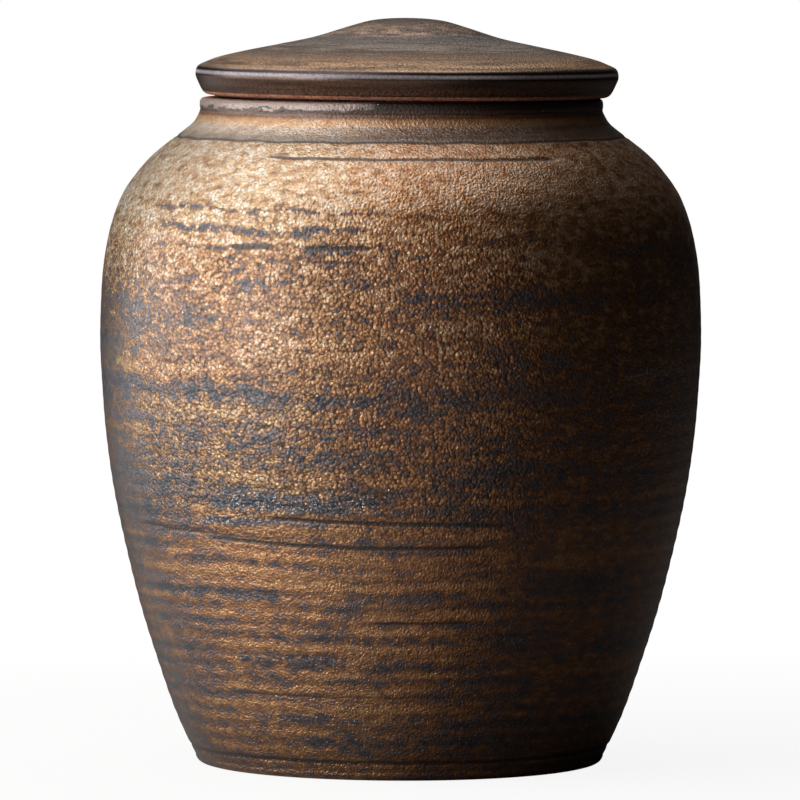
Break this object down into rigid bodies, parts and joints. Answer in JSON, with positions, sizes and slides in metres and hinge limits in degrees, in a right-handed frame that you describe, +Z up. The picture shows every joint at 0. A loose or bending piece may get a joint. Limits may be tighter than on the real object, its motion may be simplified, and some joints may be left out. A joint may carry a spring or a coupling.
{
  "type": "tea caddy",
  "caption": "Round-bellied stoneware tea caddy with a metallic bronze-brown glaze, a short neck, a domed lift-off lid and a soft seal ring under the lid's brim.",
  "frame": {"origin": "centre of the foot on the table", "axes": "+Z up through the jar's axis, the front faces -Y, +X is the viewer's right"},
  "size_m": [0.1452, 0.1452, 0.1798],
  "materials": {
    "bronze_glaze": "metallic bronze crystalline glaze over slate blue and rust brown stoneware",
    "brown_glaze": "satin dark brown glaze with a tan speckle, bare clay at the brim's lower edge",
    "silicone": "matte dark silicone"
  },
  "bodies": {
    "jar": {"jar_body": "bronze_glaze"},
    "seal": {"lid_seal_ring": "silicone"},
    "lid": {"lid": "brown_glaze"}
  },
  "joints": [
    {"name": "lid_lift", "type": "slide", "parent": "jar", "child": "seal", "axis": [0, 0, 1], "range_m": [0, 0.1]},
    {"name": "lid_turn", "type": "hinge", "parent": "seal", "child": "lid", "pos_m": [0.0013, 0, 0.1606], "axis": [0, 0, 1], "continuous": true}
  ]
}
